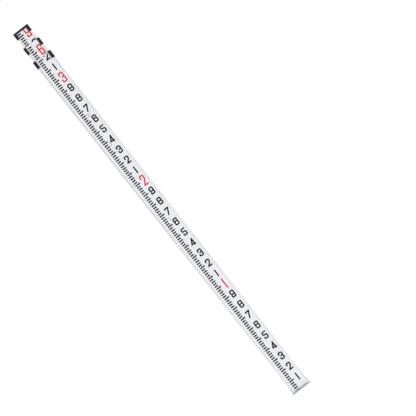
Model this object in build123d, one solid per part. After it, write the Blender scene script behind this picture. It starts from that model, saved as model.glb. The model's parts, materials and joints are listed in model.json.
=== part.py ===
from build123d import *
import math
import os

# A three-section telescoping leveling rod, closed, graduated in feet and tenths.
# Millimetres. +Z runs up the rod, the graduated face looks along -Y, and the origin is
# the middle of the foot's underside, where the scale reads zero.

# ---- Driving dimensions ----
# Rod section: a box with bevelled back corners. Each section is one step smaller.
ROD_WIDTH = 47.0
ROD_DEPTH = 27.0
BEVEL_WIDTH = 8.0
BEVEL_DEPTH = 5.5
FRONT_RADIUS = 1.5
BACK_RADIUS = 3.0
SMALLEST_RADIUS = 0.4
WALL = 1.2
NEST_GAP = 0.8

# Offsets from the outer section's outline to each section's own outline
OUTER = 0.0
MIDDLE = OUTER - WALL - NEST_GAP
INNER = MIDDLE - WALL - NEST_GAP

# Face: two rails with a channel between them that holds the scale strip
RAIL_WIDTH = 3.0
CHANNEL_DEPTH = 0.4
STRIP_THICKNESS = 0.25
STRIP_EDGE_GAP = 0.1

# Heights up the rod
SHOE_FLOOR = 2.5
LIP_TOP = 5.0
EAR_TOP = 15.0
SHOE_TOP = 15.2
OUTER_TOP = 978.0
MIDDLE_TOP = 1020.0
INNER_TOP = 1057.0
ROD_TOP = 1061.7

# Travel of each section, which carries the reading to 9.045 ft when both are out
MIDDLE_TRAVEL = 832.0
INNER_TRAVEL = 863.0

# Fits
SEAT_GAP = 0.05
PLUG_GAP = 0.1
SLIDE_GAP = 0.25
THROAT_GAP = 0.3
STOP_GAP = 0.4

# Foot shoe
SHOE_SKIN = 1.1
SHOE_EDGE_RADIUS = 1.8
EAR_HALF_DEPTH = 7.0
EAR_CORNER = 3.0
LIP_HALF_WIDTH = 18.2
LIP_THICKNESS = 0.9
LIP_CORNER = 1.0
ROOT_HEIGHT = 1.0
PANEL_WIDTH = 27.0
PANEL_HEIGHT_IN_TUBE = 12.9
PANEL_RECESS = 0.3
PANEL_GROOVES = 6
PANEL_GROOVE_WIDTH = 1.6
PANEL_GROOVE_DEPTH = 0.6
PANEL_GROOVE_FLOOR = 0.6
FOOT_SCREW_HEIGHT = 9.6
FOOT_SCREW_HEAD_RADIUS = 2.8
FOOT_SCREW_RADIUS = 1.5
FOOT_SCREW_LENGTH = 10.0
SCREW_CROSS_REACH = 1.7
SCREW_CROSS_HALF_WIDTH = 0.4
SCREW_CROSS_DEPTH = 0.4
FOOT_RIVET_HEIGHT = 9.5
FOOT_RIVET_PLUG_LENGTH = 4.0

# Bumpers and guides
BUMPER_THICKNESS = 2.8
BUMPER_INSET = 3.0
BUMPER_STEM_RADIUS = 4.0
BUMPER_STEM_LENGTH = 10.0
GUIDE_FLANGE = 3.0
GUIDE_PLUG = 12.0
GUIDE_WALL = 2.0
GUIDE_RIVET_RADIUS = 1.2
MIDDLE_BUMPER_THICKNESS = 2.0

# Rivets
RIVET_RADIUS = 1.6
RIVET_HEAD_GROWTH = 0.9
RIVET_HEAD_DEPTH = 0.7
RIVET_FIT = 0.03
STOP_RIVET_PROUD = 0.5

# Collars and cap
LOWER_COLLAR_BOTTOM = 962.0
LOWER_COLLAR_TOP = 981.5
LOWER_COLLAR_SKIN = 1.9
LOWER_COLLAR_WINDOW = 17.8
LOWER_COLLAR_RIVET_HEIGHT = 970.0
MIDDLE_COLLAR_BOTTOM = 1002.0
MIDDLE_COLLAR_TOP = 1021.0
MIDDLE_COLLAR_SKIN = 1.6
MIDDLE_COLLAR_WINDOW = 16.2
MIDDLE_COLLAR_RIVET_HEIGHT = 1010.0
MIDDLE_COLLAR_RIBS = 5
RIB_GROOVE_HEIGHT = 1.0
RIB_GROOVE_DEPTH = 0.4
RIB_FRONT = 7.0
CAP_BOTTOM = 1044.2
CAP_SKIN = 1.5
CAP_WINDOW = 14.3
CAP_WINDOW_TOP = 1056.4
CAP_PLUG_DEPTH = 8.0
CAP_RIVET_HEIGHT = 1053.5
CAP_RIVET_HEAD_RADIUS = 3.5
CAP_RIVET_HEAD_HEIGHT = 1.1
CAP_RIVET_RADIUS = 2.0
CAP_TAB_X = -4.5
CAP_TAB_WIDTH = 2.6
CAP_TAB_DROP = 2.0
COLLAR_EDGE_RADIUS = 1.3

# Cam lock on the back of the lower collar
LOCK_BOTTOM = 943.0
LOCK_TOP = 966.0
LOCK_HALF_WIDTH = 23.3
LOCK_FRONT = 8.0
PIN_X = -9.0
PIN_Y = 20.6
PIN_RADIUS = 1.5
PIN_FIT = 0.02
PIN_RUNNING_FIT = 0.05
KNUCKLE_RADIUS = 4.0
KNUCKLE_HEIGHT = 3.5
KNUCKLE_GAP = 0.3
CAM_RADIUS = 4.2
CAM_OFFSET = 0.6
CAM_TO_PAD = 0.15
NECK_RADIUS = 4.6
NECK_HALF_DEPTH = 1.7
NECK_OVERLAP = 0.6
LEVER_BOTTOM = 946.5
LEVER_TIP_X = 23.6
LEVER_TIP_BOTTOM = 943.4
LEVER_TIP_TOP = 962.0
LEVER_TIP_SLOPE = 1.5
LEVER_WAIST_X = 5.0
LEVER_BELLY_X = 9.0
LEVER_SHOULDER_X = 12.5
LEVER_SLOPE_FROM_X = 18.5
PAD_WIDTH = 10.0
PAD_HEIGHT = 10.0
PAD_REST_GAP = 0.05
PAD_WINDOW_GAP = 0.3
STEP_RIBS = 4
STEP_RIB_HEIGHT = 1.8
STEP_RIB_PROUD = 0.7
STEP_RIB_OFFSET = 1.0
STEP_RIB_FROM_X = -22.0
STEP_RIB_TO_X = -14.0

# Detent that holds the inner section when it is drawn out
DETENT_X = -4.0
DETENT_SLOT_HEIGHT = 985.4
DETENT_SLOT_WIDTH = 2.2
DETENT_SLOT_LENGTH = 6.9
DETENT_BUSH_WALL = 1.15
DETENT_BUSH_FIT = 0.05
DETENT_SLOT_GAP = 0.2
DETENT_TRAVEL = 1.5
DETENT_FLANGE_GROWTH = 2.0
DETENT_FLANGE_THICKNESS = 1.2
SPRING_THICKNESS = 0.5
SPRING_WIDTH = 7.0
SPRING_LENGTH = 60.0
SPRING_BEND_FRONT = -1.5
SPRING_BEND_BACK = 0.5
SPRING_BEND_RADIUS = 0.9

# The lever's arm seen from above: points along its outer side, round its tip and back
# along its inner side. It leaves the neck circle at two angles from the rod's +X.
LEVER_OUTER_SIDE = [(3.0, 24.5), (13.0, 22.4), (20.0, 18.4)]
LEVER_TIP = [(LEVER_TIP_X, 13.8), (LEVER_TIP_X - 0.3, 12.4), (LEVER_TIP_X - 1.7, 12.0)]
LEVER_INNER_SIDE = [(19.0, 15.8), (12.5, 17.6), (4.0, 18.5)]
NECK_OUTER_ANGLE = 62.0
NECK_INNER_ANGLE = -25.0

# ---- Levels worked out from the dimensions above ----
HALF_WIDTH = ROD_WIDTH / 2
HALF_DEPTH = ROD_DEPTH / 2
MIDDLE_GUIDE_BOTTOM = SHOE_TOP + BUMPER_THICKNESS
MIDDLE_BOTTOM = MIDDLE_GUIDE_BOTTOM + GUIDE_FLANGE
MIDDLE_GUIDE_TOP = MIDDLE_BOTTOM + GUIDE_PLUG
INNER_GUIDE_BOTTOM = MIDDLE_GUIDE_TOP + MIDDLE_BUMPER_THICKNESS
INNER_BOTTOM = INNER_GUIDE_BOTTOM + GUIDE_FLANGE
OUTER_STOP_HEIGHT = MIDDLE_BOTTOM + MIDDLE_TRAVEL + STOP_GAP + RIVET_RADIUS
MIDDLE_STOP_HEIGHT = INNER_BOTTOM + INNER_TRAVEL + STOP_GAP + RIVET_RADIUS
KNUCKLE_LOW = LEVER_BOTTOM
BARREL_BOTTOM = KNUCKLE_LOW + KNUCKLE_HEIGHT + KNUCKLE_GAP
BARREL_TOP = LOCK_TOP - KNUCKLE_HEIGHT - KNUCKLE_GAP
PAD_MIDDLE_Z = (BARREL_BOTTOM + BARREL_TOP) / 2
DETENT_HEIGHT = DETENT_SLOT_HEIGHT - INNER_TRAVEL
PANEL_Y = HALF_DEPTH - PANEL_RECESS

# Sizes of cutting tools: a little past a face, well past the rod's sides, past its top
PAST = 1.0
FAR = 200.0
TALL = 2000.0


# ---- Shapes that repeat ----
def outline(grow):
    """The rod's outline, grown outwards by a given distance on every side."""
    half_w = HALF_WIDTH + grow
    half_d = HALF_DEPTH + grow
    slope = math.hypot(BEVEL_WIDTH, BEVEL_DEPTH)
    level = BEVEL_DEPTH * HALF_WIDTH + BEVEL_WIDTH * (HALF_DEPTH - BEVEL_DEPTH) + grow * slope
    side_y = (level - BEVEL_DEPTH * half_w) / BEVEL_WIDTH
    back_x = (level - BEVEL_WIDTH * half_d) / BEVEL_DEPTH
    half = [(half_w, -half_d), (half_w, side_y), (back_x, half_d)]
    mirrored = [(-x, y) for x, y in reversed(half)]
    face = make_face(Polyline(*half, *mirrored, close=True))
    front_corners = face.vertices().sort_by(Axis.Y)[:2]
    face = fillet(front_corners, max(FRONT_RADIUS + grow, SMALLEST_RADIUS))
    bevel_corners = face.vertices().sort_by(Axis.Y)[-4:]
    return fillet(bevel_corners, max(BACK_RADIUS + grow, SMALLEST_RADIUS))


def prism(grow, low, high):
    """A solid of the rod's outline between two heights."""
    return extrude(Pos(0, 0, low) * outline(grow), high - low)


def block(x0, x1, y0, y1, z0, z1):
    """A box given by its two opposite corners."""
    middle = Pos((x0 + x1) / 2, (y0 + y1) / 2, (z0 + z1) / 2)
    return middle * Box(x1 - x0, y1 - y0, z1 - z0)


def front_window(half_width, low, high):
    """The space in front of the face, to open a collar towards the scale."""
    return block(-half_width, half_width, -FAR, 0, low, high)


def soft_prism(grow, low, high, radius):
    """A prism with its top and bottom edges rounded."""
    body = prism(grow, low, high)
    ends = body.faces().sort_by(Axis.Z)
    return fillet(ends[0].edges() + ends[-1].edges(), radius)


def side_pins(growth, length, radius, z, fit=0.0):
    """A pair of pins through the side walls of an outline, with flush countersunk heads."""
    hang = (Align.CENTER, Align.CENTER, Align.MAX)
    shank = Cylinder(radius + fit, length, align=hang)
    head = Cone(radius + fit, radius + RIVET_HEAD_GROWTH + fit, RIVET_HEAD_DEPTH, align=hang)
    pin = shank + head
    return [Pos(side * (HALF_WIDTH + growth), 0, z) * Rot(0, side * 90, 0) * pin
            for side in (-1, 1)]


def back_pin(x, y, z, radius, length):
    """A round shank that runs forwards from a point on the rod's back."""
    shank = Cylinder(radius, length, align=(Align.CENTER, Align.CENTER, Align.MAX))
    return Pos(x, y, z) * Rot(-90, 0, 0) * shank


def upright_slot(x, z, width, length, y0, y1):
    """A round-ended upright slot that passes through the back wall."""
    shape = Plane.XZ * Pos(x, z) * Rot(0, 0, 90) * SlotOverall(length, width)
    return extrude(shape, -(y1 - y0)).moved(Location((0, y0, 0)))


def cut_all(body, tools):
    """Take a list of tools out of a body, one after another."""
    for tool in tools:
        body = body - tool
    return body


def save(name, shape):
    """Write one node's solids to its own file."""
    if isinstance(shape, list):
        shape = Compound(children=[part.solid() for part in shape])
    export_step(shape, f"parts/{name}.step")


# ---- Rivet pairs: outline growth at their heads, length, radius and height ----
RIVET_PAIRS = {
    "foot_rivets": (SHOE_SKIN, SHOE_SKIN + WALL + FOOT_RIVET_PLUG_LENGTH, RIVET_RADIUS,
                    FOOT_RIVET_HEIGHT),
    "lower_collar_rivets": (LOWER_COLLAR_SKIN, LOWER_COLLAR_SKIN + WALL, RIVET_RADIUS,
                            LOWER_COLLAR_RIVET_HEIGHT),
    "outer_stop_rivets": (OUTER, WALL + STOP_RIVET_PROUD, RIVET_RADIUS, OUTER_STOP_HEIGHT),
    "middle_collar_rivets": (MIDDLE + MIDDLE_COLLAR_SKIN, MIDDLE_COLLAR_SKIN + WALL,
                             RIVET_RADIUS, MIDDLE_COLLAR_RIVET_HEIGHT),
    "middle_stop_rivets": (MIDDLE, WALL + STOP_RIVET_PROUD, RIVET_RADIUS, MIDDLE_STOP_HEIGHT),
    "middle_guide_rivets": (MIDDLE, WALL + GUIDE_WALL, GUIDE_RIVET_RADIUS,
                            MIDDLE_BOTTOM + GUIDE_PLUG / 2),
    "inner_guide_rivets": (INNER, WALL + GUIDE_WALL, GUIDE_RIVET_RADIUS,
                           INNER_BOTTOM + GUIDE_PLUG / 2),
}


def rivets(name):
    return side_pins(*RIVET_PAIRS[name])


def rivet_holes(name):
    return side_pins(*RIVET_PAIRS[name], fit=RIVET_FIT)


# ---- Rod sections and their scale strips ----
def rod_section(grow, low, high):
    """One extruded aluminium section with the scale channel in its face."""
    face_y = -(HALF_DEPTH + grow)
    channel = HALF_WIDTH + grow - RAIL_WIDTH
    low_past, high_past = low - PAST, high + PAST
    body = prism(grow, low, high) - prism(grow - WALL, low_past, high_past)
    return body - block(-channel, channel, face_y - PAST, face_y + CHANNEL_DEPTH,
                        low_past, high_past)


def scale_strip(grow, low, high):
    """The white strip that carries the graduations, laid in the channel."""
    floor_y = -(HALF_DEPTH + grow) + CHANNEL_DEPTH
    half = HALF_WIDTH + grow - RAIL_WIDTH - STRIP_EDGE_GAP
    return block(-half, half, floor_y - STRIP_THICKNESS, floor_y, low, high)


def pad_window():
    """The opening that the brake pad slides in, through collar and tube."""
    half_w = PAD_WIDTH / 2 + PAD_WINDOW_GAP
    half_h = PAD_HEIGHT / 2 + PAD_WINDOW_GAP
    return block(PIN_X - half_w, PIN_X + half_w, HALF_DEPTH - WALL - PAST, FAR,
                 PAD_MIDDLE_Z - half_h, PAD_MIDDLE_Z + half_h)


def outer_tube():
    body = rod_section(OUTER, SHOE_FLOOR, OUTER_TOP)
    body -= block(-PANEL_WIDTH / 2, PANEL_WIDTH / 2, HALF_DEPTH - 2 * WALL, FAR,
                  SHOE_FLOOR - PAST, SHOE_FLOOR + PANEL_HEIGHT_IN_TUBE)
    body -= pad_window()
    for name in ("foot_rivets", "lower_collar_rivets", "outer_stop_rivets"):
        body = cut_all(body, rivet_holes(name))
    return body


def middle_tube():
    body = rod_section(MIDDLE, MIDDLE_BOTTOM, MIDDLE_TOP)
    inside_y = HALF_DEPTH + MIDDLE - 2 * WALL
    bush_growth = 2 * (DETENT_BUSH_WALL + DETENT_BUSH_FIT)
    body -= upright_slot(DETENT_X, DETENT_SLOT_HEIGHT, DETENT_SLOT_WIDTH + bush_growth,
                         DETENT_SLOT_LENGTH + bush_growth, inside_y, inside_y + 4 * WALL)
    for name in ("middle_guide_rivets", "middle_collar_rivets", "middle_stop_rivets"):
        body = cut_all(body, rivet_holes(name))
    return body


def inner_tube():
    body = rod_section(INNER, INNER_BOTTOM, INNER_TOP)
    inside_y = HALF_DEPTH + INNER - 2 * WALL
    body -= upright_slot(DETENT_X, DETENT_HEIGHT, DETENT_SLOT_WIDTH, DETENT_SLOT_LENGTH,
                         inside_y, inside_y + 4 * WALL)
    body -= back_pin(0, FAR / 2, CAP_RIVET_HEIGHT, CAP_RIVET_RADIUS + RIVET_FIT, FAR / 2)
    return cut_all(body, rivet_holes("inner_guide_rivets"))


# ---- Foot ----
def screw_shank(fit=0.0):
    return back_pin(0, PANEL_Y, FOOT_SCREW_HEIGHT, FOOT_SCREW_RADIUS + fit, FOOT_SCREW_LENGTH)


def foot_screw():
    """Pan head screw with a cross recess, its head in a round seat in the panel."""
    head = back_pin(0, PANEL_Y, FOOT_SCREW_HEIGHT, FOOT_SCREW_HEAD_RADIUS, PANEL_GROOVE_DEPTH)
    z, near = FOOT_SCREW_HEIGHT, PANEL_Y - SCREW_CROSS_DEPTH
    cross = [block(-w, w, near, FAR, z - h, z + h)
             for w, h in ((SCREW_CROSS_REACH, SCREW_CROSS_HALF_WIDTH),
                          (SCREW_CROSS_HALF_WIDTH, SCREW_CROSS_REACH))]
    return cut_all(head + screw_shank(), cross)


def bumper_stem(fit=0.0):
    stem = Cylinder(BUMPER_STEM_RADIUS + fit, BUMPER_STEM_LENGTH,
                    align=(Align.CENTER, Align.CENTER, Align.MAX))
    return Pos(0, 0, SHOE_TOP) * stem


def foot_shoe():
    """Cast shoe: sole, side ears, front lip, and a plug inside the outer section."""
    sole = prism(SHOE_SKIN, 0, SHOE_FLOOR)
    sole = fillet(sole.faces().sort_by(Axis.Z)[0].edges(), SHOE_EDGE_RADIUS)
    body = sole + prism(-WALL - PLUG_GAP, SHOE_FLOOR, SHOE_TOP)
    for side in (-1, 1):
        near = side * (HALF_WIDTH + PLUG_GAP)
        far = side * (HALF_WIDTH + SHOE_SKIN)
        ear = block(min(near, far), max(near, far), -EAR_HALF_DEPTH, EAR_HALF_DEPTH,
                    ROOT_HEIGHT, EAR_TOP)
        ear = fillet(ear.edges().filter_by(Axis.X).group_by(Axis.Z)[-1], EAR_CORNER)
        body += ear
    lip_back = -HALF_DEPTH + CHANNEL_DEPTH - STRIP_THICKNESS - SEAT_GAP
    lip = block(-LIP_HALF_WIDTH, LIP_HALF_WIDTH, -HALF_DEPTH - LIP_THICKNESS, lip_back,
                ROOT_HEIGHT, LIP_TOP)
    body += fillet(lip.edges().filter_by(Axis.Y).group_by(Axis.Z)[-1], LIP_CORNER)
    panel_half = PANEL_WIDTH / 2 - PLUG_GAP
    body += block(-panel_half, panel_half, 0, PANEL_Y, SHOE_FLOOR, SHOE_TOP)
    pitch = 2 * panel_half / PANEL_GROOVES
    for i in range(PANEL_GROOVES):
        x = -panel_half + (i + 0.5) * pitch
        body -= block(x - PANEL_GROOVE_WIDTH / 2, x + PANEL_GROOVE_WIDTH / 2,
                      PANEL_Y - PANEL_GROOVE_DEPTH, FAR, SHOE_FLOOR + PANEL_GROOVE_FLOOR, FAR)
    seat = back_pin(0, FAR, FOOT_SCREW_HEIGHT, FOOT_SCREW_HEAD_RADIUS + PLUG_GAP,
                    FAR - PANEL_Y + PANEL_GROOVE_DEPTH)
    body = body - screw_shank(RIVET_FIT) - seat - bumper_stem(PLUG_GAP)
    return cut_all(body, rivet_holes("foot_rivets"))


def foot_bumper():
    """Rubber stop block with a stem that the foot screw holds in the shoe."""
    pad = prism(-WALL - BUMPER_INSET, SHOE_TOP, MIDDLE_GUIDE_BOTTOM)
    return pad + bumper_stem() - screw_shank(RIVET_FIT)


# ---- Guides in the bottoms of the moving sections ----
def guide(grow, bottom, rivet_name):
    """Plastic slide shoe: a flange that runs in the next section out, and a hollow plug."""
    top = bottom + GUIDE_FLANGE + GUIDE_PLUG
    body = prism(grow + NEST_GAP - SLIDE_GAP, bottom, bottom + GUIDE_FLANGE)
    body += prism(grow - WALL - PLUG_GAP, bottom + GUIDE_FLANGE, top)
    body -= prism(grow - WALL - PLUG_GAP - GUIDE_WALL, bottom + GUIDE_FLANGE, top + PAST)
    return cut_all(body, rivet_holes(rivet_name))


# ---- Collars and cap ----
def collar_ring(grow, skin, bottom, top, tube_top, window, inner_grow):
    """A ring on the end of one section, open over the face, with a throat above the tube."""
    body = soft_prism(grow + skin, bottom, top, COLLAR_EDGE_RADIUS)
    body -= prism(grow + SEAT_GAP, bottom - PAST, tube_top + SEAT_GAP)
    body -= prism(inner_grow + THROAT_GAP, tube_top, top + PAST)
    return body - front_window(window, bottom - PAST, top + PAST)


def lock_base():
    """The collar's lower back plate, with the knuckles that hold the lever's pin."""
    plate = prism(LOWER_COLLAR_SKIN, LOCK_BOTTOM, LOWER_COLLAR_BOTTOM + COLLAR_EDGE_RADIUS)
    keep = block(-LOCK_HALF_WIDTH, LOCK_HALF_WIDTH, LOCK_FRONT, FAR, 0, TALL)
    plate = (plate & keep) - prism(SEAT_GAP, LOCK_BOTTOM - PAST, LOWER_COLLAR_TOP)
    back_y = HALF_DEPTH + LOWER_COLLAR_SKIN
    for low, high in ((KNUCKLE_LOW, KNUCKLE_LOW + KNUCKLE_HEIGHT),
                      (LOCK_TOP - KNUCKLE_HEIGHT, LOCK_TOP)):
        round_end = Pos(PIN_X, PIN_Y, (low + high) / 2) * Cylinder(KNUCKLE_RADIUS, high - low)
        web = block(PIN_X - KNUCKLE_RADIUS, PIN_X + KNUCKLE_RADIUS, back_y - PAST, PIN_Y, low, high)
        plate += round_end + web
    return plate


def step_ribs():
    """Short ribs on the bevel beside the lever's barrel."""
    pitch = (LOWER_COLLAR_BOTTOM - LOCK_BOTTOM) / STEP_RIBS
    ribs = []
    for i in range(STEP_RIBS):
        low = LOCK_BOTTOM + i * pitch + STEP_RIB_OFFSET
        shell = (prism(LOWER_COLLAR_SKIN + STEP_RIB_PROUD, low, low + STEP_RIB_HEIGHT)
                 - prism(LOWER_COLLAR_SKIN - PAST, low, low + STEP_RIB_HEIGHT))
        ribs.append(shell & block(STEP_RIB_FROM_X, STEP_RIB_TO_X, LOCK_FRONT, FAR, 0, TALL))
    return ribs


def lower_collar():
    body = collar_ring(OUTER, LOWER_COLLAR_SKIN, LOWER_COLLAR_BOTTOM, LOWER_COLLAR_TOP,
                       OUTER_TOP, LOWER_COLLAR_WINDOW, MIDDLE)
    body += lock_base()
    for rib in step_ribs():
        body += rib
    body -= pad_window()
    pin_hole = Cylinder(PIN_RADIUS + PIN_FIT, 2 * (LOCK_TOP - LOCK_BOTTOM))
    body -= Pos(PIN_X, PIN_Y, PAD_MIDDLE_Z) * pin_hole
    return cut_all(body, rivet_holes("lower_collar_rivets"))


def middle_collar():
    """Collar of the middle section, with grip grooves across its back."""
    body = collar_ring(MIDDLE, MIDDLE_COLLAR_SKIN, MIDDLE_COLLAR_BOTTOM, MIDDLE_COLLAR_TOP,
                       MIDDLE_TOP, MIDDLE_COLLAR_WINDOW, INNER)
    grow = MIDDLE + MIDDLE_COLLAR_SKIN
    pitch = (MIDDLE_COLLAR_TOP - MIDDLE_COLLAR_BOTTOM) / (MIDDLE_COLLAR_RIBS + 1)
    for i in range(MIDDLE_COLLAR_RIBS):
        z = MIDDLE_COLLAR_BOTTOM + (i + 1) * pitch
        low, high = z - RIB_GROOVE_HEIGHT / 2, z + RIB_GROOVE_HEIGHT / 2
        shell = prism(grow + PAST, low, high) - prism(grow - RIB_GROOVE_DEPTH, low, high)
        body -= shell & block(-FAR, FAR, RIB_FRONT, FAR, low, high)
    return cut_all(body, rivet_holes("middle_collar_rivets"))


def end_cap():
    """Top cap: a plate, a skirt open over the face, a plug in the tube and a key tab."""
    body = soft_prism(INNER + CAP_SKIN, CAP_BOTTOM, ROD_TOP, COLLAR_EDGE_RADIUS)
    body -= prism(INNER + SEAT_GAP, CAP_BOTTOM - PAST, INNER_TOP)
    body -= front_window(CAP_WINDOW, CAP_BOTTOM - PAST, CAP_WINDOW_TOP)
    plug_low = INNER_TOP - CAP_PLUG_DEPTH
    plug = prism(INNER - WALL - PLUG_GAP, plug_low, INNER_TOP)
    body += plug - prism(INNER - WALL - PLUG_GAP - GUIDE_WALL, plug_low - PAST, INNER_TOP)
    back_y = HALF_DEPTH + INNER
    body += block(CAP_TAB_X - CAP_TAB_WIDTH / 2, CAP_TAB_X + CAP_TAB_WIDTH / 2,
                  back_y + SEAT_GAP, back_y + CAP_SKIN, CAP_BOTTOM - CAP_TAB_DROP,
                  CAP_BOTTOM + COLLAR_EDGE_RADIUS)
    return body - back_pin(0, FAR, CAP_RIVET_HEIGHT, CAP_RIVET_RADIUS + RIVET_FIT, FAR)


def end_cap_rivet():
    """Domed aluminium rivet through the cap's back, the tube and the cap's plug."""
    seat_y = HALF_DEPTH + INNER + CAP_SKIN
    reach = CAP_SKIN + WALL + PLUG_GAP + GUIDE_WALL
    rise = CAP_RIVET_HEAD_HEIGHT
    sphere_radius = (CAP_RIVET_HEAD_RADIUS ** 2 + rise ** 2) / (2 * rise)
    dome = Pos(0, seat_y + rise - sphere_radius, CAP_RIVET_HEIGHT) * Sphere(sphere_radius)
    dome = dome & block(-FAR, FAR, seat_y, FAR, 0, TALL)
    return dome + back_pin(0, seat_y, CAP_RIVET_HEIGHT, CAP_RIVET_RADIUS, reach)


# ---- Cam lock ----
def on_neck(degrees):
    """A point on the circle round the pin where the lever's arm begins."""
    angle = math.radians(degrees)
    return (PIN_X + NECK_RADIUS * math.cos(angle), PIN_Y + NECK_RADIUS * math.sin(angle))


def lever_plan():
    """The lever's arm seen from above: it follows the rod's back round to its side."""
    root_start, root_end = on_neck(NECK_INNER_ANGLE), on_neck(NECK_OUTER_ANGLE)
    root_middle = on_neck((NECK_INNER_ANGLE + NECK_OUTER_ANGLE) / 2)
    outer = Spline(root_end, *LEVER_OUTER_SIDE, LEVER_TIP[0])
    end = ThreePointArc(*LEVER_TIP)
    inner = Spline(LEVER_TIP[-1], *LEVER_INNER_SIDE, root_start)
    root = ThreePointArc(root_start, root_middle, root_end)
    return make_face(outer + end + inner + root)


def lever_arm():
    """The arm, cut to its outline as seen from behind: deeper at the tip than at the waist."""
    arm = extrude(Pos(0, 0, LOCK_BOTTOM) * lever_plan(), LOCK_TOP - LOCK_BOTTOM)
    past_tip = LEVER_TIP_X + PAST
    behind = make_face(Polyline(
        (PIN_X, LEVER_BOTTOM), (LEVER_WAIST_X, LEVER_BOTTOM), (LEVER_BELLY_X, LEVER_TIP_BOTTOM),
        (past_tip, LEVER_TIP_BOTTOM), (past_tip, LEVER_TIP_TOP - LEVER_TIP_SLOPE),
        (LEVER_SLOPE_FROM_X, LEVER_TIP_TOP), (LEVER_SHOULDER_X, LOCK_TOP), (PIN_X, LOCK_TOP),
        close=True))
    return arm & extrude(Plane.XZ * behind, -FAR)


def clamp_lever():
    """Cam lever: its barrel turns on the upright pin and its cam bears on the brake pad."""
    height = BARREL_TOP - BARREL_BOTTOM
    cam = Pos(PIN_X, PIN_Y - CAM_OFFSET, PAD_MIDDLE_Z) * Cylinder(CAM_RADIUS, height)
    neck = block(PIN_X, PIN_X + NECK_RADIUS + NECK_OVERLAP, PIN_Y - NECK_HALF_DEPTH,
                 PIN_Y + NECK_HALF_DEPTH, BARREL_BOTTOM, BARREL_TOP)
    bore = Pos(PIN_X, PIN_Y, PAD_MIDDLE_Z) * Cylinder(PIN_RADIUS + PIN_RUNNING_FIT, 2 * height)
    return lever_arm() + neck + cam - bore


def lever_pin():
    length = LOCK_TOP - KNUCKLE_LOW
    return Pos(PIN_X, PIN_Y, KNUCKLE_LOW + length / 2) * Cylinder(PIN_RADIUS, length)


def brake_pad():
    """Block that the cam pushes against the middle section's back."""
    near = HALF_DEPTH + MIDDLE + PAD_REST_GAP
    far = PIN_Y - CAM_OFFSET - CAM_RADIUS - CAM_TO_PAD
    return block(PIN_X - PAD_WIDTH / 2, PIN_X + PAD_WIDTH / 2, near, far,
                 PAD_MIDDLE_Z - PAD_HEIGHT / 2, PAD_MIDDLE_Z + PAD_HEIGHT / 2)


# ---- Detent of the inner section ----
def detent_button():
    """Oblong button that stands through the inner section's back wall."""
    outer_y = HALF_DEPTH + MIDDLE - WALL - SLIDE_GAP
    flange_y = HALF_DEPTH + INNER - WALL - DETENT_TRAVEL
    width = DETENT_SLOT_WIDTH - 2 * DETENT_SLOT_GAP
    length = DETENT_SLOT_LENGTH - 2 * DETENT_SLOT_GAP
    stem = upright_slot(DETENT_X, DETENT_HEIGHT, width, length, flange_y, outer_y)
    flange = upright_slot(DETENT_X, DETENT_HEIGHT, width + 2 * DETENT_FLANGE_GROWTH,
                          length + 2 * DETENT_FLANGE_GROWTH,
                          flange_y - DETENT_FLANGE_THICKNESS, flange_y)
    return stem + flange


def detent_bush():
    """Black liner of the slot that the button springs into at full length."""
    outer_y = HALF_DEPTH + MIDDLE
    ring = upright_slot(DETENT_X, DETENT_SLOT_HEIGHT, DETENT_SLOT_WIDTH + 2 * DETENT_BUSH_WALL,
                        DETENT_SLOT_LENGTH + 2 * DETENT_BUSH_WALL, outer_y - WALL, outer_y)
    hole = upright_slot(DETENT_X, DETENT_SLOT_HEIGHT, DETENT_SLOT_WIDTH, DETENT_SLOT_LENGTH,
                        outer_y - 2 * WALL, outer_y + WALL)
    return ring - hole


def detent_spring():
    """V-shaped strip: one leg under the button, the other on the inside of the face."""
    back_y = (HALF_DEPTH + INNER - WALL - DETENT_TRAVEL - DETENT_FLANGE_THICKNESS
              - SPRING_THICKNESS / 2 - SEAT_GAP)
    front_y = -(HALF_DEPTH + INNER - WALL) + SPRING_THICKNESS / 2 + SEAT_GAP
    low = DETENT_HEIGHT - DETENT_SLOT_LENGTH / 2 - DETENT_FLANGE_GROWTH
    high = DETENT_HEIGHT + DETENT_SLOT_LENGTH
    bend = low + SPRING_LENGTH
    path = FilletPolyline((back_y, low), (back_y, high), (SPRING_BEND_BACK, bend),
                          (SPRING_BEND_FRONT, bend), (front_y, high), (front_y, low),
                          radius=SPRING_BEND_RADIUS)
    strip = trace(path, SPRING_THICKNESS)
    solid = extrude(Plane.YZ * strip, SPRING_WIDTH / 2, both=True)
    return solid.moved(Location((DETENT_X, 0, 0)))


# ---- Write every piece ----
save("outer_tube", outer_tube())
save("middle_tube", middle_tube())
save("inner_tube", inner_tube())
save("outer_scale", scale_strip(OUTER, SHOE_FLOOR, OUTER_TOP))
save("middle_scale", scale_strip(MIDDLE, MIDDLE_BOTTOM, MIDDLE_TOP))
save("inner_scale", scale_strip(INNER, INNER_BOTTOM, INNER_TOP))
save("foot_shoe", foot_shoe())
save("foot_screw", foot_screw())
save("foot_bumper", foot_bumper())
save("middle_guide", guide(MIDDLE, MIDDLE_GUIDE_BOTTOM, "middle_guide_rivets"))
save("middle_bumper", prism(MIDDLE - WALL - PLUG_GAP, MIDDLE_GUIDE_TOP, INNER_GUIDE_BOTTOM))
save("inner_guide", guide(INNER, INNER_GUIDE_BOTTOM, "inner_guide_rivets"))
save("lower_collar", lower_collar())
save("middle_collar", middle_collar())
save("end_cap", end_cap())
save("end_cap_rivet", end_cap_rivet())
save("clamp_lever", clamp_lever())
save("lever_pin", lever_pin())
save("brake_pad", brake_pad())
save("detent_button", detent_button())
save("detent_spring", detent_spring())
save("detent_bush", detent_bush())
for pair in RIVET_PAIRS:
    save(pair, rivets(pair))
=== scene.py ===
import json
import math

import bmesh
import bpy
from mathutils import Matrix, Vector


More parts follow.
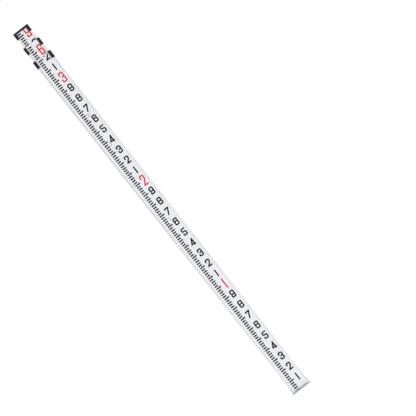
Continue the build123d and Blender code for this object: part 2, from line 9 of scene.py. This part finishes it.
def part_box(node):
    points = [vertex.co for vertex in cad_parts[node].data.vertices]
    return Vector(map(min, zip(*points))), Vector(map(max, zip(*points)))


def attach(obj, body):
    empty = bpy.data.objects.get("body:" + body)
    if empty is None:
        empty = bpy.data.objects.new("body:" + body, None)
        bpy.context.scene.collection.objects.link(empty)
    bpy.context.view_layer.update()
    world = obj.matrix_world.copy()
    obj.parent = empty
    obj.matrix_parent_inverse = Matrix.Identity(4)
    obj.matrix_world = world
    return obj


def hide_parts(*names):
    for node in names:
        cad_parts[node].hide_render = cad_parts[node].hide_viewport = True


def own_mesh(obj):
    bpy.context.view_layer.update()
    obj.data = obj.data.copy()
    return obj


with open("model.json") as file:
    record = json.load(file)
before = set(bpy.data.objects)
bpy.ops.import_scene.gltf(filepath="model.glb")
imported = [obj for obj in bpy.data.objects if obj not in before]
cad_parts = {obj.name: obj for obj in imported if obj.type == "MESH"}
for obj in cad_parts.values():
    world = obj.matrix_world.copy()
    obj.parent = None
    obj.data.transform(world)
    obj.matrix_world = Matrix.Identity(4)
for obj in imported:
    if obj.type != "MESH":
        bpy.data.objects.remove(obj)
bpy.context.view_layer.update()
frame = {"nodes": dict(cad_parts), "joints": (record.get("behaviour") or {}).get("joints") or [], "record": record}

# A closed three-section leveling rod. Metres: +Z runs up the rod, and the graduated face
# looks along -Y. The frame holds every solid part; this script adds the print on the three
# faces and on the back, a leaf spring, the finishes and the studio.

MM = 0.001
FOOT = 0.3048
AXIS_X, AXIS_Y = 0, 1

# ---- Printed scales: sizes of the marks ----
# A black bar fills every other hundredth of a foot, and its ink spreads a little past it
TENTHS_PER_FOOT = 10
BARS_PER_TENTH = 5
HUNDREDTH = FOOT / TENTHS_PER_FOOT / (2 * BARS_PER_TENTH)
INK_SPREAD = 0.2 * MM
BAR_LEFT = -14.4 * MM
BAR_RIGHTS = {"short": -5.1 * MM, "medium": -3.2 * MM, "long": -0.6 * MM}
BAR_ORDER = ("short", "short", "medium", "short", "long")
BAR_SLANT = 1.5 * MM

# The digits: where they stand, how wide and tall they are, and how their corners round off
NUMBER_X = 9.6 * MM
NUMBER_DROP = 0.005 * FOOT
NUMBER_STROKE = 3.4 * MM
TENTH_SIZE = (11.7 * MM, 18.8 * MM)
FOOT_SIZE = (12.2 * MM, 26.6 * MM)
CORNER = 2.3 * MM
CORNER_STEPS = 6

# The foot's number, repeated small and at these parts of the foot above it
REPEAT_X = 1.6 * MM
REPEAT_STROKE = 0.9 * MM
REPEAT_SIZE = (3.8 * MM, 7.6 * MM)
REPEAT_CORNER = CORNER / 3
REPEAT_SPOTS = (0.367, 0.642)

# The arrow and dot printed on the back of the outer section
ARROW_X = -8.0 * MM
ARROW_LOW = 862.0 * MM
ARROW_HIGH = 879.0 * MM
ARROW_STEM = 1.5 * MM
ARROW_HEAD = (5.0 * MM, 6.0 * MM)
ARROW_DOT = 2.4 * MM
ARROW_DOT_GAP = 2.0 * MM
DOT_SIDES = 16

# The V-shaped spring behind the detent's button: how high the straight part of a leg goes,
# and where its bend lies from front to back
SPRING_THICKNESS = 0.5 * MM
SPRING_FOOT = 12.35 * MM
SPRING_BEND = (-1.5 * MM, 0.5 * MM)
SPRING_CORNER = 0.9 * MM

# Print stands proud of a face and reaches a little into it. Strokes of one digit cross each
# other, so each one stands a step higher than the one before it. The mitre limit keeps the
# sharp corners of a stroke short.
INK_PROUD = 0.05 * MM
INK_SUNK = 0.03 * MM
STROKE_STEP = 0.004 * MM
MITRE_LIMIT = 0.5

# Painted shade along a strip's long edges where it meets the rails; and around the lever's pin, bright metal that
# is partly a painted highlight, with its margin
SEAM_WIDTH = 1.6 * MM
HINGE_REACH = 5.2 * MM
HINGE_FADE = 0.4 * MM

# Each section: its body, its scale strip, the joints that lift it, its first printed reading
SECTIONS = {
    "outer": ("outer_section", "outer_scale", (), 0.0),
    "middle": ("middle_section", "middle_scale", ("middle_slide",), 3.1),
    "inner": ("inner_section", "inner_scale", ("middle_slide", "inner_slide"), 6.0),
}

# Digits as pen strokes in a unit cell, x to the right and y up: points, and closed or not
DIGITS = {
    "1": [([(0.5, 0), (0.5, 1)], False)],
    "2": [([(0, 0.74), (0, 1), (1, 1), (1, 0.62), (0.06, 0.04)], False),
          ([(0, 0), (1, 0)], False)],
    "3": [([(0, 0.76), (0, 1), (1, 1), (1, 0.5), (0.45, 0.5)], False),
          ([(0.45, 0.5), (1, 0.5), (1, 0), (0, 0), (0, 0.24)], False)],
    "4": [([(0.84, 0), (0.84, 1)], False),
          ([(0.78, 0.93), (0.04, 0.24)], False),
          ([(0, 0.17), (1, 0.17)], False)],
    "5": [([(1, 1), (0, 1), (0, 0.55), (1, 0.55), (1, 0), (0, 0), (0, 0.2)], False)],
    "6": [([(1, 0.78), (1, 1), (0, 1), (0, 0.3)], False),
          ([(0, 0), (1, 0), (1, 0.56), (0, 0.56)], True)],
    "7": [([(0, 0.9), (0, 1), (1, 1)], False),
          ([(1, 1), (0.12, 0.03)], False)],
    "8": [([(0.3, 0.52), (1, 0.52), (1, 1), (0, 1), (0, 0.3)], False),
          ([(0, 0.4), (0, 0), (1, 0), (1, 0.52), (0.3, 0.52)], False)],
    "9": [([(0, 0.22), (0, 0), (1, 0), (1, 0.7)], False),
          ([(1, 1), (0, 1), (0, 0.44), (1, 0.44)], True)],
}


def travel(joint):
    """How far a sliding joint goes, in metres."""
    return next(j["range_m"][1] for j in frame["joints"] if j["name"] == joint)


def add_object(name, data):
    """A new object in the scene."""
    made = bpy.data.objects.new(name, data)
    bpy.context.scene.collection.objects.link(made)
    return made


# ---- Flat shapes that are printed ----
def softened(points, closed, radius):
    """A line through the points, with each corner turned into a short curve."""
    line = []
    for i, corner in enumerate(points):
        at_end = not closed and i in (0, len(points) - 1)
        if at_end:
            line.append(corner)
            continue
        before, after = points[i - 1], points[(i + 1) % len(points)]
        reach = min(radius, (corner - before).length / 2, (after - corner).length / 2)
        start = corner + (before - corner).normalized() * reach
        end = corner + (after - corner).normalized() * reach
        for step in range(CORNER_STEPS + 1):
            t = step / CORNER_STEPS
            line.append(start * (1 - t) ** 2 + corner * (2 * t * (1 - t)) + end * t ** 2)
    return line


def ribbon(flat, line, closed, width):
    """A flat band of even width along a line, with square ends, in the plane of the face."""
    half = width / 2
    if not closed:
        line = list(line)
        line[0] = line[0] + (line[0] - line[1]).normalized() * half
        line[-1] = line[-1] + (line[-1] - line[-2]).normalized() * half
    rungs = []
    for i, point in enumerate(line):
        ahead = line[(i + 1) % len(line)] - point if closed or i < len(line) - 1 else None
        behind = point - line[i - 1] if closed or i else None
        ways = [way.normalized() for way in (behind, ahead) if way and way.length > 0]
        along = (ways[0] + ways[-1]).normalized()
        side = Vector((-along.y, along.x)) * half / max(along.dot(ways[0]), MITRE_LIMIT)
        rungs.append([flat.verts.new((p.x, 0, p.y)) for p in (point + side, point - side)])
    pairs = zip(rungs, rungs[1:] + rungs[:1] if closed else rungs[1:])
    for (a, b), (c, d) in pairs:
        flat.faces.new((a, b, d, c))


def thicken(flat, axis, place):
    """Makes flat shapes solid: their other side goes to a place along an axis."""
    for made in bmesh.ops.extrude_face_region(flat, geom=flat.faces[:])["geom"]:
        if isinstance(made, bmesh.types.BMVert):
            made.co[axis] = place
    bmesh.ops.recalc_face_normals(flat, faces=flat.faces[:])


def solid_print(flat, low, high, face_y, depth, outward=-1):
    """Cuts flat shapes to a strip's length and gives them thickness on its face."""
    for height, upwards in ((low, -1), (high, 1)):
        parts = flat.verts[:] + flat.edges[:] + flat.faces[:]
        bmesh.ops.bisect_plane(flat, geom=parts, plane_co=(0, 0, height),
                               plane_no=(0, 0, upwards), clear_outer=True)
    for vert in flat.verts:
        vert.co.y = face_y - outward * INK_SUNK
    thicken(flat, AXIS_Y, face_y + outward * depth)


def piece(name, body, material, parts):
    """One object made of several bmesh parts, riding on a body."""
    mesh = bpy.data.meshes.new(name)
    whole = bmesh.new()
    for part in parts:
        scratch = bpy.data.meshes.new("scratch")
        part.to_mesh(scratch)
        part.free()
        whole.from_mesh(scratch)
        bpy.data.meshes.remove(scratch)
    whole.to_mesh(mesh)
    whole.free()
    mesh.materials.append(material)
    made = add_object(name, mesh)
    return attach(made, body)


def bar(flat, kind, low, high):
    """One black bar of the scale, its free end slanted on the medium and long ones."""
    low_right = high_right = BAR_RIGHTS[kind]
    if kind == "medium":
        high_right -= BAR_SLANT
    elif kind == "long":
        low_right -= BAR_SLANT
    corners = ((BAR_LEFT, low), (low_right, low), (high_right, high), (BAR_LEFT, high))
    flat.faces.new([flat.verts.new((x, 0, z)) for x, z in corners])


def number_parts(spots, size, stroke, corner, strip):
    """Digits at their places, one bmesh for each layer of strokes."""
    low, high, face_y = strip
    width, height = size[0] - stroke, size[1] - stroke
    layers = [bmesh.new() for _ in range(max(len(s) for s in DIGITS.values()))]
    for digit, x, z in spots:
        for layer, (points, closed) in zip(layers, DIGITS[digit]):
            places = [Vector((x + (px - 0.5) * width, z + (py - 0.5) * height))
                      for px, py in points]
            ribbon(layer, softened(places, closed, corner), closed, stroke)
    for i, layer in enumerate(layers):
        solid_print(layer, low, high, face_y, INK_PROUD + i * STROKE_STEP)
    return layers


def print_section(name, body, strip_node, lifts, first_reading):
    """All marks of one section: bars, black tenths, red feet and small repeated feet."""
    lift = sum(travel(joint) for joint in lifts)
    low_corner, high_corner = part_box(strip_node)
    low = max(low_corner.z, first_reading * FOOT - lift)
    high, face_y = high_corner.z, low_corner.y
    first = math.floor((low + lift) / FOOT * TENTHS_PER_FOOT)
    last = math.ceil((high + lift) / FOOT * TENTHS_PER_FOOT)

    bars = bmesh.new()
    tenths, feet, repeats = [], [], []
    for tenth in range(first, last + 1):
        base = tenth * FOOT / TENTHS_PER_FOOT - lift
        for i, kind in enumerate(BAR_ORDER):
            bar_low = base + (2 * i + 1) * HUNDREDTH - INK_SPREAD
            bar_high = bar_low + HUNDREDTH + 2 * INK_SPREAD
            if bar_low > low and bar_high < high:
                bar(bars, kind, bar_low, bar_high)
        whole, rest = divmod(tenth, TENTHS_PER_FOOT)
        middle = base - NUMBER_DROP
        spots = [(str(rest or whole), NUMBER_X, middle)] if low < middle < high else []
        if rest:
            tenths += spots
        elif whole:
            feet += spots
            repeats += [(str(whole), REPEAT_X, base + part * FOOT) for part in REPEAT_SPOTS]
    solid_print(bars, low, high, face_y, INK_PROUD)

    strip = (low, high, face_y)
    piece(name + "_bars", body, BLACK_INK, [bars])
    piece(name + "_tenths", body, BLACK_INK,
          number_parts(tenths, TENTH_SIZE, NUMBER_STROKE, CORNER, strip))
    piece(name + "_feet", body, RED_INK,
          number_parts(feet, FOOT_SIZE, NUMBER_STROKE, CORNER, strip))
    piece(name + "_small_feet", body, RED_INK,
          number_parts(repeats, REPEAT_SIZE, REPEAT_STROKE, REPEAT_CORNER, strip))


def print_arrow():
    """A plain arrow over a dot, which shows the way up, on the back of the outer section."""
    face_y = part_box("outer_tube")[1].y
    arrow = bmesh.new()
    neck = ARROW_HIGH - ARROW_HEAD[1]
    stem, head = ARROW_STEM / 2, ARROW_HEAD[0] / 2
    dot_z = ARROW_LOW - ARROW_DOT_GAP - ARROW_DOT / 2
    turns = [2 * math.pi * i / DOT_SIDES for i in range(DOT_SIDES)]
    shapes = (
        [(-stem, ARROW_LOW), (stem, ARROW_LOW), (stem, neck), (-stem, neck)],
        [(-head, neck), (head, neck), (0, ARROW_HIGH)],
        [(ARROW_DOT / 2 * math.cos(t), dot_z + ARROW_DOT / 2 * math.sin(t)) for t in turns])
    for shape in shapes:
        arrow.faces.new([arrow.verts.new((ARROW_X + x, 0, z)) for x, z in shape])
    solid_print(arrow, dot_z - ARROW_DOT, ARROW_HIGH + ARROW_DOT, face_y, INK_PROUD, outward=1)
    piece("up_arrow", "outer_section", GREY_INK, [arrow])


def detent_leaf():
    """The spring under the detent's button, built as a V-shaped strip that takes the place of the frame's spring.
    """
    low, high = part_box("detent_spring")
    half = SPRING_THICKNESS / 2
    front, back, bend_z = low.y + half, high.y - half, high.z - half
    near, far = SPRING_BEND
    corners = [(back, low.z + half), (back, low.z + SPRING_FOOT), (far, bend_z),
               (near, bend_z), (front, low.z + SPRING_FOOT), (front, low.z + half)]
    strip = bmesh.new()
    ribbon(strip, softened([Vector(c) for c in corners], False, SPRING_CORNER), False,
           SPRING_THICKNESS)
    for vert in strip.verts:
        vert.co = (low.x, vert.co.x, vert.co.z)
    thicken(strip, AXIS_X, high.x)

    leaf = piece("detent_leaf", "inner_section", FINISHES["spring_steel"], [strip])
    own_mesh(leaf)
    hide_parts("detent_spring")


# ---- Finishes: helpers. Grain sizes, edge widths and relief depths are in mm ----
# Sockets of the Mix node that have no name of their own when it mixes colours
COLOUR_A, COLOUR_B, COLOUR_MIXED = 6, 7, 2

# Cosine between the rounded and the true normal, where wear on an edge starts and is full
EDGE_FACING = (0.995, 0.86)
EDGE_SAMPLES = 6


def shader_of(material):
    return material.node_tree.nodes["Principled BSDF"]


def finish(name, roughness, metallic=0.0, **sockets):
    """A material whose even values are set on the shader itself."""
    material = bpy.data.materials.new(name)
    material.use_nodes = True
    shader = shader_of(material)
    shader.inputs["Roughness"].default_value = roughness
    shader.inputs["Metallic"].default_value = metallic
    for socket, value in sockets.items():
        shader.inputs[socket.replace("_", " ")].default_value = value
    return material


def node(material, kind, inputs=(), **settings):
    """A node with its settings and inputs; an input is a value or another node's output."""
    made = material.node_tree.nodes.new(kind)
    for key, value in settings.items():
        setattr(made, key, value)
    for key, value in dict(inputs).items():
        if isinstance(value, bpy.types.NodeSocket):
            material.node_tree.links.new(value, made.inputs[key])
        else:
            made.inputs[key].default_value = value
    return made


def drive(material, socket, output):
    material.node_tree.links.new(output, shader_of(material).inputs[socket])


def place_in(material):
    """Where a surface point is on the rod at rest."""
    return node(material, "ShaderNodeTexCoord").outputs["Object"]


def maths(material, operation, *values):
    """A calculation on one or two numbers."""
    return node(material, "ShaderNodeMath", enumerate(values), operation=operation).outputs[0]


def vectors(material, operation, *values):
    """A calculation on one or two vectors; a dot product or a length comes out as a number."""
    made = node(material, "ShaderNodeVectorMath", enumerate(values), operation=operation)
    return made.outputs["Value" if operation in ("DOT_PRODUCT", "LENGTH") else "Vector"]


def spread(material, value, source=(0, 1), target=(0, 1)):
    """A value moved from one range to another and held there."""
    moved = node(material, "ShaderNodeMapRange", {
        "Value": value, "From Min": source[0], "From Max": source[1],
        "To Min": target[0], "To Max": target[1]}, clamp=True)
    return moved.outputs["Result"]


def opaque(colour):
    """Another node's output as it is, or a colour's three values with full alpha."""
    return colour if isinstance(colour, bpy.types.NodeSocket) else (*colour, 1)


def blended(material, base, over, mask, strength=None):
    """One colour laid over another through a mask, weakened when a strength is given."""
    share = maths(material, "MULTIPLY", mask, strength) if strength else mask
    mix = node(material, "ShaderNodeMix", {
        "Factor": share, COLOUR_A: opaque(base), COLOUR_B: opaque(over)}, data_type="RGBA")
    return mix.outputs[COLOUR_MIXED]


def grain(material, size, detail=3.0, contrast=(0.3, 0.7)):
    """Noise from 0 to 1, of one size or of a size for each of X, Y and Z."""
    sizes = size if isinstance(size, tuple) else (size, size, size)
    scaled = node(material, "ShaderNodeMapping", {
        "Vector": place_in(material), "Scale": [1 / (s * MM) for s in sizes]})
    noise = node(material, "ShaderNodeTexNoise", {
        "Vector": scaled.outputs["Vector"], "Scale": 1.0, "Detail": detail})
    return spread(material, noise.outputs["Fac"], contrast)


def edges(material, width):
    """Where a piece's outer edges are, broken up as wear is."""
    rounded = node(material, "ShaderNodeBevel", {"Radius": width * MM}, samples=EDGE_SAMPLES)
    shape = node(material, "ShaderNodeNewGeometry")
    facing = vectors(material, "DOT_PRODUCT", rounded.outputs["Normal"], shape.outputs["Normal"])
    patches = grain(material, 6)
    return maths(material, "MULTIPLY", spread(material, facing, EDGE_FACING), patches)


def relief(material, *layers):
    """Bump from several height textures, each with its own depth."""
    normal = None
    for height, depth in layers:
        inputs = {"Height": height, "Distance": depth * MM, "Strength": 1.0}
        if normal:
            inputs["Normal"] = normal
        normal = node(material, "ShaderNodeBump", inputs).outputs["Normal"]
    drive(material, "Normal", normal)


# ---- Finishes: metals ----
LINE_SHADE = 0.86
SCUFF_ROUGHNESS = 0.14


def extruded_aluminium(name, light, shade):
    """Satin anodised extrusion: fine lines along the rod, soft clouds and light scuffs."""
    material = finish(name, roughness=0.4, metallic=1.0)
    lines = grain(material, (0.35, 0.35, 180))
    broad = grain(material, (3, 3, 400), detail=2.0)
    clouds = grain(material, (25, 25, 90))
    scuffs = grain(material, (1.2, 1.2, 14), detail=5.0, contrast=(0.62, 0.72))
    tone = blended(material, shade, light, clouds)
    tone = blended(material, tone, [c * LINE_SHADE for c in light], lines, strength=0.25)
    tone = blended(material, tone, (0.95, 0.95, 0.96), edges(material, 0.5), strength=0.5)
    drive(material, "Base Color", tone)
    satin = spread(material, broad, target=(0.36, 0.46))
    scuffed = maths(material, "MULTIPLY", scuffs, SCUFF_ROUGHNESS)
    drive(material, "Roughness", maths(material, "ADD", satin, scuffed))
    relief(material, (lines, 0.012), (broad, 0.02), (scuffs, 0.006))
    return material


def bright_metal(name, dark, light, roughness):
    """Turned or drawn metal with faint tool marks."""
    material = finish(name, roughness, metallic=1.0)
    marks = grain(material, (0.25, 0.25, 1.5))
    stains = grain(material, 2.5, detail=4.0)
    drive(material, "Base Color", blended(material, dark, light, stains))
    around = (roughness - 0.06, roughness + 0.08)
    drive(material, "Roughness", spread(material, marks, target=around))
    relief(material, (marks, 0.01), (stains, 0.02))
    return material


def painted_casting(name):
    """Grey paint over a sand casting, rubbed bright on its corners."""
    material = finish(name, roughness=0.5, metallic=0.55)
    sand = grain(material, 0.6, detail=4.0)
    swell = grain(material, 7)
    tone = blended(material, (0.40, 0.42, 0.48), (0.52, 0.54, 0.60), swell)
    tone = blended(material, tone, (0.32, 0.34, 0.39), sand, strength=0.3)
    tone = blended(material, tone, (0.78, 0.78, 0.80), edges(material, 0.8))
    drive(material, "Base Color", tone)
    drive(material, "Roughness", spread(material, sand, target=(0.42, 0.58)))
    relief(material, (sand, 0.05), (swell, 0.1))
    return material


# ---- Finishes: plastics, rubber and print ----
FILM_SEEN = 0.2


def moulded(name, dark, light, edge_wear_and_sheen, roughness, texture, gloss=0.25):
    """Moulded part: fine spark texture, dusty clouds, edges lightened to an edge colour that is wear, and on the
    black nylon a painted highlight as well.
    """
    material = finish(name, roughness, Specular_IOR_Level=gloss)
    skin = grain(material, texture)
    dust = grain(material, 9, detail=4.0)
    tone = blended(material, dark, light, dust)
    tone = blended(material, tone, edge_wear_and_sheen, edges(material, 0.6), strength=0.6)
    drive(material, "Base Color", tone)
    around = (roughness - 0.08, roughness + 0.1)
    drive(material, "Roughness", spread(material, skin, target=around))
    relief(material, (skin, 0.03), (dust, 0.04))
    return material


def black_plastic(name):
    """Black glass-filled nylon with a faint blue cast; its pale blue-grey edges are wear and a painted highlight
    on the bevels.
    """
    # Painted highlight: the edge colour is light enough to stand in for the sheen on the bevels and rib edges, on
    # top of the wear.
    return moulded(name, (0.005, 0.005, 0.011), (0.013, 0.012, 0.025), (0.11, 0.11, 0.15),
                   roughness=0.42, texture=0.35, gloss=0.24)


def rubbed_at_pin(material):
    """Turns a black finish into bright metal on the hinge, as far as the lever's pin reaches: partly bare metal,
    partly a painted highlight on the barrel and knuckles.
    """
    black = shader_of(material).inputs["Base Color"].links[0].from_socket
    low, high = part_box("lever_pin")
    middle = (low + high) / 2
    from_pin = vectors(material, "SUBTRACT", place_in(material), middle)
    away = vectors(material, "LENGTH", vectors(material, "MULTIPLY", from_pin, (1, 1, 0)))
    height = node(material, "ShaderNodeSeparateXYZ", {"Vector": from_pin}).outputs["Z"]
    rise = maths(material, "ABSOLUTE", height)
    bare_and_sheen = grain(material, (1.5, 1.5, 5), detail=4.0, contrast=(0.3, 0.5))
    for distance, limit in ((away, HINGE_REACH), (rise, high.z - middle.z)):
        inside = spread(material, distance, (limit, limit - HINGE_FADE))
        bare_and_sheen = maths(material, "MULTIPLY", bare_and_sheen, inside)
    # Painted highlight: a bright metal bar down the pin's length, on the barrel and the knuckles.
    drive(material, "Base Color", blended(material, black, (0.41, 0.425, 0.50), bare_and_sheen))
    drive(material, "Metallic", bare_and_sheen)
    return material


def seam_dirt(material, half_width):
    """Share of painted shade along the two long edges of a strip, where it meets the rails, broken into patches.
    """
    across = node(material, "ShaderNodeSeparateXYZ", {"Vector": place_in(material)})
    aside = maths(material, "ABSOLUTE", across.outputs["X"])
    near = spread(material, aside, (half_width - SEAM_WIDTH, half_width), target=(0, 0.55))
    patches = grain(material, (2, 2, 30), detail=4.0, contrast=(0.2, 0.6))
    return maths(material, "MULTIPLY", near, patches)


def scale_film(name, half_width):
    """White laminated strip: slightly glossy, faintly mottled, with painted shade along the edges where it meets
    the rails.
    """
    material = finish(name, roughness=0.34, Coat_Weight=0.15, Coat_Roughness=0.25)
    mottle = grain(material, (14, 14, 60))
    rubs = grain(material, (1.5, 1.5, 22), detail=5.0, contrast=(0.6, 0.75))
    pores = grain(material, 0.4, detail=2.0)
    tone = blended(material, (0.80, 0.81, 0.845), (0.845, 0.855, 0.885), mottle)
    tone = blended(material, tone, (0.66, 0.66, 0.68), rubs, strength=0.22)
    # Painted shade: the strip darkens along its long edges, in the corner under the rails.
    tone = blended(material, tone, (0.50, 0.50, 0.53), seam_dirt(material, half_width))
    drive(material, "Base Color", tone)
    drive(material, "Roughness", spread(material, rubs, target=(0.3, 0.5)))
    relief(material, (pores, 0.004), (mottle, 0.02))
    return material


def ink(name, dark, light):
    """Screen-printed ink: uneven in density, with pinholes that let some of the film show."""
    material = finish(name, roughness=0.5, Specular_IOR_Level=0.12)
    density = grain(material, 5, detail=4.0)
    pinholes = grain(material, 0.5, detail=2.0, contrast=(0.66, 0.74))
    thin = [FILM_SEEN + (1 - FILM_SEEN) * c for c in light]
    tone = blended(material, dark, light, density)
    drive(material, "Base Color", blended(material, tone, thin, pinholes, strength=0.25))
    drive(material, "Roughness", spread(material, density, target=(0.42, 0.58)))
    relief(material, (pinholes, 0.01))
    return material


BLACK_INK = ink("black_ink", (0.003, 0.003, 0.004), (0.008, 0.008, 0.010))
GREY_INK = ink("grey_ink", (0.035, 0.035, 0.04), (0.07, 0.07, 0.08))
RED_INK = ink("red_ink", (0.60, 0.035, 0.024), (0.70, 0.058, 0.036))

# The finish of each material slot
FINISHES = {
    "aluminium_outer": extruded_aluminium(
        "anodised_outer", (0.79, 0.80, 0.82), (0.74, 0.75, 0.78)),
    "aluminium_middle": extruded_aluminium(
        "anodised_middle", (0.81, 0.82, 0.84), (0.77, 0.78, 0.81)),
    "aluminium_inner": extruded_aluminium(
        "anodised_inner", (0.83, 0.84, 0.86), (0.79, 0.80, 0.83)),
    "cast_shoe": painted_casting("painted_casting"),
    "steel_screw": bright_metal(
        "zinc_screw", (0.55, 0.55, 0.57), (0.70, 0.70, 0.72), roughness=0.3),
    "rivet_aluminium": bright_metal(
        "bright_rivet", (0.66, 0.66, 0.70), (0.80, 0.79, 0.82), roughness=0.32),
    "rivet_black": moulded(
        "blackened_rivet", (0.02, 0.02, 0.022), (0.04, 0.04, 0.045), (0.3, 0.3, 0.31),
        roughness=0.4, texture=0.3),
    "steel_pin": bright_metal(
        "steel_pin", (0.42, 0.42, 0.44), (0.58, 0.58, 0.60), roughness=0.28),
    "spring_steel": bright_metal(
        "blued_spring", (0.24, 0.25, 0.28), (0.36, 0.37, 0.40), roughness=0.35),
    "black_nylon": black_plastic("black_nylon"),
    # The lever's barrel is bright metal, partly a painted highlight.
    "black_lever": rubbed_at_pin(moulded(
        "black_lever", (0.007, 0.007, 0.013), (0.015, 0.015, 0.027), (0.08, 0.08, 0.09),
        roughness=0.3, texture=0.5, gloss=0.5)),
    "rubber": moulded(
        "rubber", (0.012, 0.012, 0.012), (0.03, 0.03, 0.03), (0.06, 0.06, 0.06),
        roughness=0.85, texture=0.4),
    "rubber_pad": moulded(
        "rubber_pad", (0.015, 0.015, 0.015), (0.035, 0.035, 0.035), (0.07, 0.07, 0.07),
        roughness=0.8, texture=0.4),
    "guide_plastic": moulded(
        "white_guide", (0.70, 0.70, 0.68), (0.78, 0.78, 0.76), (0.82, 0.82, 0.80),
        roughness=0.45, texture=0.5),
}

# Nodes that are finished otherwise than their slot says, and the slot of the scale strips
# The collar's nylon knuckles get the same bright metal, which there is a painted highlight.
NODE_FINISHES = {"lower_collar": rubbed_at_pin(black_plastic("black_hinge"))}
FILM_SLOT = "scale_white"


def dress(name, slot):
    """Puts its finish on a CAD node; each scale strip has one that knows its width."""
    if slot == FILM_SLOT:
        material = scale_film(name + "_film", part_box(name)[1].x)
    else:
        material = NODE_FINISHES.get(name, FINISHES[slot])
    materials = frame["nodes"][name].data.materials
    materials.clear()
    materials.append(material)


for subpart in frame["record"]["subparts"]:
    dress(subpart["node"], subpart["material_slot"])

for section, plan in SECTIONS.items():
    print_section(section, *plan)
print_arrow()
detent_leaf()


# ---- Camera: straight at the graduated face, rolled so the rod leans back to the left ----
VIEW_CENTRE = Vector((0.0872, 0, 0.4647))
VIEW_WIDTH = 0.9687
LEAN = math.radians(38.13)
CAMERA_DISTANCE = 8.0
SENSOR = 36.0


def place_camera():
    data = bpy.data.cameras.new("camera")
    data.sensor_width = SENSOR
    data.lens = SENSOR * CAMERA_DISTANCE / VIEW_WIDTH
    camera = add_object("camera", data)
    right = Vector((math.cos(LEAN), 0, -math.sin(LEAN)))
    above = Vector((math.sin(LEAN), 0, math.cos(LEAN)))
    back = Vector((0, -1, 0))
    turn = Matrix((right, above, back)).transposed().to_4x4()
    camera.matrix_world = Matrix.Translation(VIEW_CENTRE + back * CAMERA_DISTANCE) @ turn
    bpy.context.scene.camera = camera


# ---- Studio: pale floor, two soft boxes, a high lamp for the floor, white surroundings ----
# Lengths are in metres, apart from the floor's grain, which is in mm like every grain
FLOOR_HALF = 3.4
FLOOR_CELLS = 8
FLOOR_GRAIN = 200
AMBIENT = 0.4

BOX_AIM = Vector((0, 0, 0.5))
BOX_DISTANCE = 4.5
BOX_SIZE = 6.0
BOX_ELEVATION = math.radians(12)

HIGH_LAMP_ENERGY = 2.0
HIGH_LAMP_ANGLE = math.radians(6)


def soft_box(name, azimuth, radiance):
    """A square soft light that faces the rod's middle. Azimuth 0 is in front of the face."""
    lamp = bpy.data.lights.new(name, "AREA")
    lamp.shape = "SQUARE"
    lamp.size = BOX_SIZE
    lamp.energy = radiance * math.pi * BOX_SIZE * BOX_SIZE
    turn, level = math.radians(azimuth), math.cos(BOX_ELEVATION)
    away = Vector((math.sin(turn) * level, -math.cos(turn) * level, math.sin(BOX_ELEVATION)))
    made = add_object(name, lamp)
    made.location = BOX_AIM + away * BOX_DISTANCE
    made.rotation_euler = away.to_track_quat("Z", "Y").to_euler()
    made.visible_camera = False


def high_lamp(name):
    """A small distant light from straight above, which brightens the floor."""
    lamp = bpy.data.lights.new(name, "SUN")
    lamp.energy = HIGH_LAMP_ENERGY
    lamp.angle = HIGH_LAMP_ANGLE
    add_object(name, lamp)


def floor():
    flat = bmesh.new()
    bmesh.ops.create_grid(flat, x_segments=FLOOR_CELLS, y_segments=FLOOR_CELLS, size=FLOOR_HALF)
    mesh = bpy.data.meshes.new("floor")
    flat.to_mesh(mesh)
    flat.free()
    pale = finish("pale_floor", roughness=0.9, Specular_IOR_Level=0.1)
    mottle = grain(pale, FLOOR_GRAIN)
    drive(pale, "Base Color", blended(pale, (0.90, 0.90, 0.90), (0.93, 0.93, 0.93), mottle))
    mesh.materials.append(pale)
    made = add_object("floor", mesh)


def surroundings():
    """White behind the rod, and a dimmer even light on it."""
    world = bpy.data.worlds.new("studio")
    world.use_nodes = True
    bpy.context.scene.world = world
    tree = world.node_tree
    background = tree.nodes["Background"]
    background.inputs["Color"].default_value = (1, 1, 1, 1)
    path = tree.nodes.new("ShaderNodeLightPath")
    strength = tree.nodes.new("ShaderNodeMapRange")
    strength.inputs["To Min"].default_value = AMBIENT
    strength.inputs["To Max"].default_value = 1.0
    tree.links.new(path.outputs["Is Camera Ray"], strength.inputs["Value"])
    tree.links.new(strength.outputs["Result"], background.inputs["Strength"])


place_camera()
floor()
surroundings()
soft_box("front_box", azimuth=35, radiance=1.22)
soft_box("back_box", azimuth=220, radiance=1.0)
high_lamp("high_lamp")

bpy.context.scene.view_settings.view_transform = "Standard"
